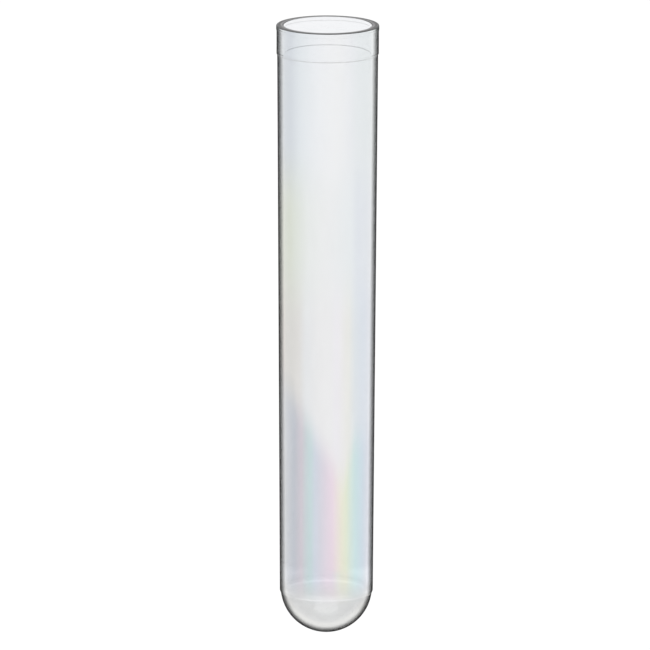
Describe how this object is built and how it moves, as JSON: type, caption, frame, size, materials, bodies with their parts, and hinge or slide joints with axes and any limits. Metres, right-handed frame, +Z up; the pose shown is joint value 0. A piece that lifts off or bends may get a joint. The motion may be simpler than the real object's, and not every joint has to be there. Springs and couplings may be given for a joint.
{
  "type": "test tube",
  "caption": "Clear plastic round-bottomed test tube with an open mouth, a short plain collar with a slight lip, and a drafted body.",
  "frame": {"origin": "lowest point of the round bottom, on the tube's axis", "axes": "+Z up the tube's axis, out of the open mouth; the tube is the same all round, so X and Y are free"},
  "size_m": [0.0124, 0.0124, 0.075],
  "materials": {
    "clear_polystyrene": "clear, smooth and glossy"
  },
  "bodies": {
    "root": {"tube": "clear_polystyrene"}
  },
  "joints": []
}
